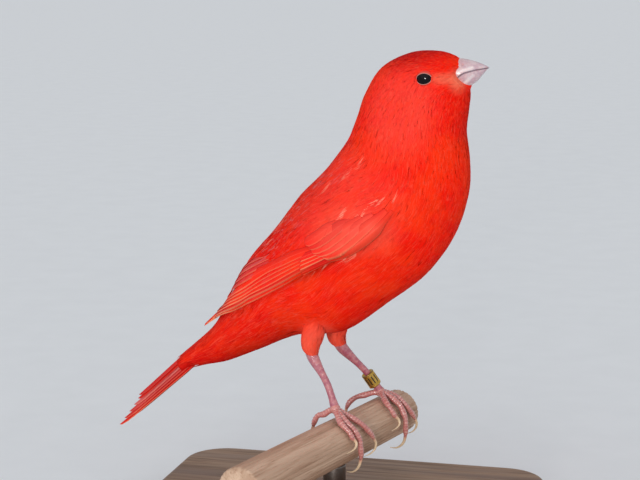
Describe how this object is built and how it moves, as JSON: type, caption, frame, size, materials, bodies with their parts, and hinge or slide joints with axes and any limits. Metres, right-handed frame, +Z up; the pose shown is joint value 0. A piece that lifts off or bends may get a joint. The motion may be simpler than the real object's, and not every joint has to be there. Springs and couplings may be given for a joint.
{
  "type": "canary",
  "caption": "Life-size red canary standing upright on a short wooden perch with a leg ring, held over a flat display base by one rod",
  "frame": {"origin": "centre of the stand base's underside", "axes": "+X the way the bird faces, +Y the bird's left, +Z up"},
  "size_m": [0.1154, 0.0913, 0.1274],
  "materials": {
    "plumage": "soft overlapping contour feathers in bright orange-red, paler at the thighs and wrist",
    "flight_feathers": "smooth feather vanes in orange-red with pale pinkish shafts and edges",
    "bill": "pale pinkish horn with a soft gloss and a mauve line at the mouth",
    "eye": "glossy black eye",
    "leg_skin": "pink-red scuted skin with pale highlights",
    "claw": "pale yellowish horn, translucent at the tips",
    "ring_metal": "gold-coloured metal leg ring with small dark plain marks",
    "perch_wood": "pale brown grooved dowel with rounded sawn ends",
    "rod_metal": "dark brown painted rod",
    "base_wood": "satin waxed wood plate with a small chamfer"
  },
  "bodies": {
    "root": {"head": "plumage", "neck": "plumage", "breast": "plumage", "belly": "plumage", "rump": "plumage", "thigh_right": "plumage", "thigh_left": "plumage", "wing_left": "flight_feathers", "wing_right": "flight_feathers", "tail": "flight_feathers", "bill_upper": "bill", "bill_lower": "bill", "eye_left": "eye", "eye_right": "eye", "shank_right": "leg_skin", "shank_left": "leg_skin", "foot_right": "leg_skin", "foot_left": "leg_skin", "claw_right_middle": "claw", "claw_right_inner": "claw", "claw_right_outer": "claw", "claw_right_hind": "claw", "claw_left_middle": "claw", "claw_left_inner": "claw", "claw_left_outer": "claw", "claw_left_hind": "claw", "leg_ring": "ring_metal", "stand_perch": "perch_wood", "stand_rod": "rod_metal", "stand_base": "base_wood"}
  },
  "joints": []
}
